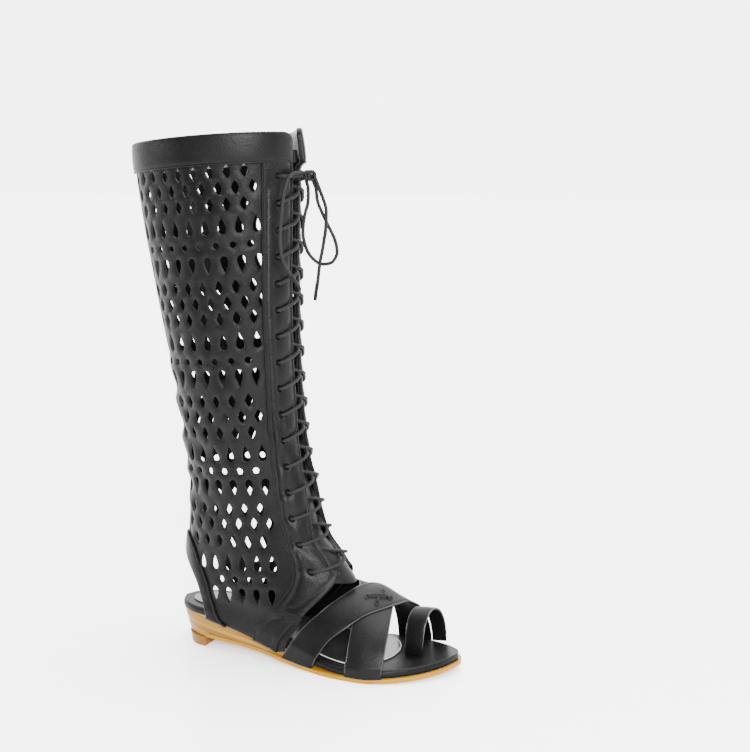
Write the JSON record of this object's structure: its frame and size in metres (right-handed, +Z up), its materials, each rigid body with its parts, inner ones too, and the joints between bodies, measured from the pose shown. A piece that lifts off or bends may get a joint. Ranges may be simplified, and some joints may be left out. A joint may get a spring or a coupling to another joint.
{
  "type": "gladiator sandal",
  "caption": "Knee-high open-toe gladiator sandal: perforated leather shaft laced down the front, crossed straps and a toe ring over a low wooden-look wedge; right shoe.",
  "frame": {"origin": "middle of the flat underside of the heel lift, on the floor plane", "axes": "+X towards the toes, +Y towards the wearer's inner side, +Z up"},
  "size_m": [0.2825, 0.0984, 0.4289],
  "materials": {
    "shaft_leather": "soft black leather with a satin sheen and punched holes",
    "trim_leather": "smooth black leather with a low sheen",
    "footbed_leather": "black leather wrapped round the board, matt",
    "insole": "shiny dark sheet",
    "stacked_wood": "lacquered light brown with layered grain",
    "outsole": "smooth yellow-tan sheet",
    "lace": "round black cord"
  },
  "bodies": {
    "root": {"outsole": "outsole", "wedge": "stacked_wood", "heel_lift": "stacked_wood", "footbed": "footbed_leather", "insole_sock": "insole", "upper": "shaft_leather", "top_band": "trim_leather", "eyestay_lateral": "trim_leather", "eyestay_medial": "trim_leather", "heel_strip": "trim_leather", "tongue": "shaft_leather", "cross_straps": "trim_leather", "toe_ring": "trim_leather", "cross_stitch": "lace", "lace_crossings": "lace", "lace_knot": "lace", "lace_front_loop": "lace", "lace_front_end": "lace", "lace_side_end": "lace"}
  },
  "joints": []
}
